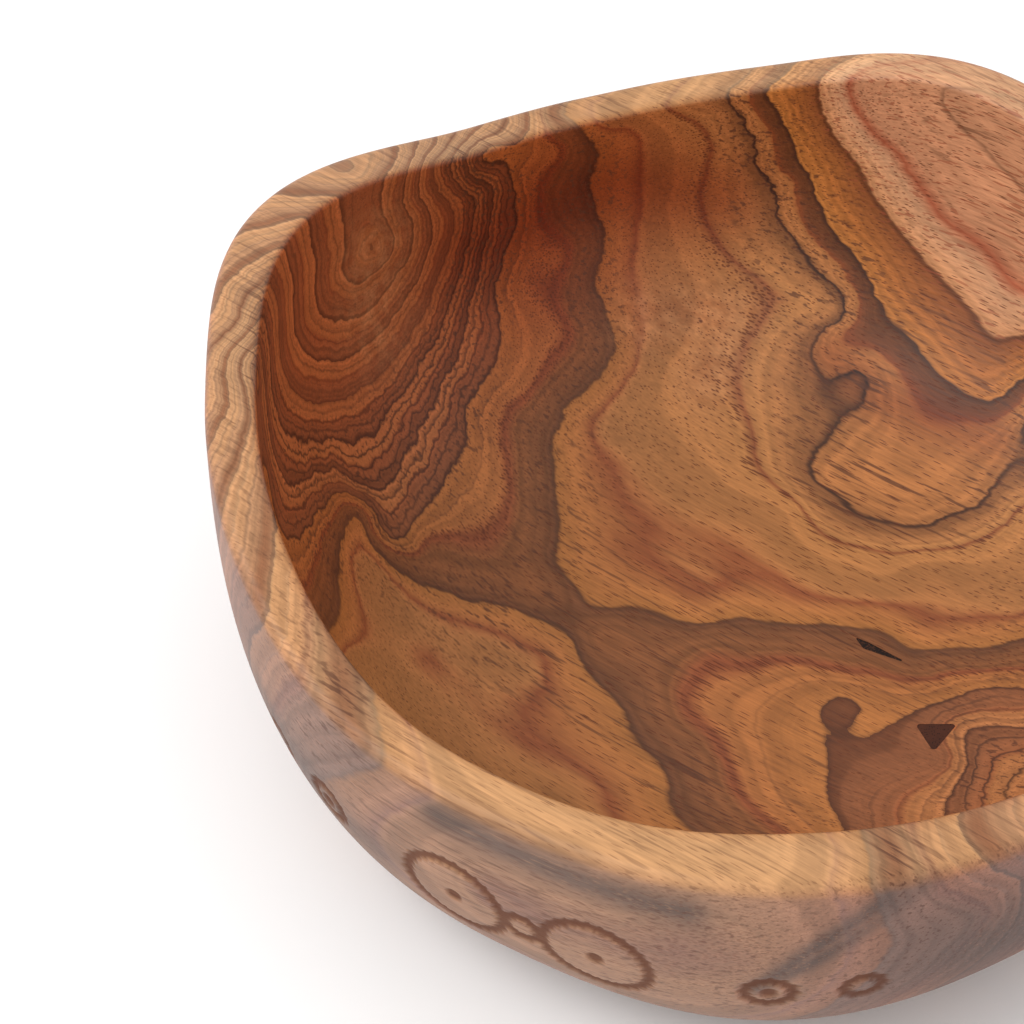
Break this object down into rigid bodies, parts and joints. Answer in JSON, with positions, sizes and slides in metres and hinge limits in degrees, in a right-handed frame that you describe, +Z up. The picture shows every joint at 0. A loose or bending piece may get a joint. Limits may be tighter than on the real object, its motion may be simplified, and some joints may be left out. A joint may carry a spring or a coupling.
{
  "type": "carved wooden bowl",
  "caption": "Deep free-form bowl carved from one block of wood, with a thick waving rim, a full round body and a flat foot; a filled drying check and a dead knot sit in its floor.",
  "frame": {"origin": "centre of the flat foot, where the bowl stands on the table", "axes": "+Z up through the mouth; -Y to the front, where the burnt ornament is; +X to the right seen from the front"},
  "size_m": [0.2453, 0.2505, 0.101],
  "materials": {
    "oiled_teak": "sanded smooth and oiled to a satin sheen, strong dark growth rings, open pores",
    "dark_resin": "near-black resin and wood dust, sanded flush",
    "knot_wood": "dark dense knot wood with bark, sanded flush and oiled"
  },
  "bodies": {
    "root": {"bowl_body": "oiled_teak", "check_filling": "dark_resin", "dead_knot": "knot_wood"}
  },
  "joints": []
}
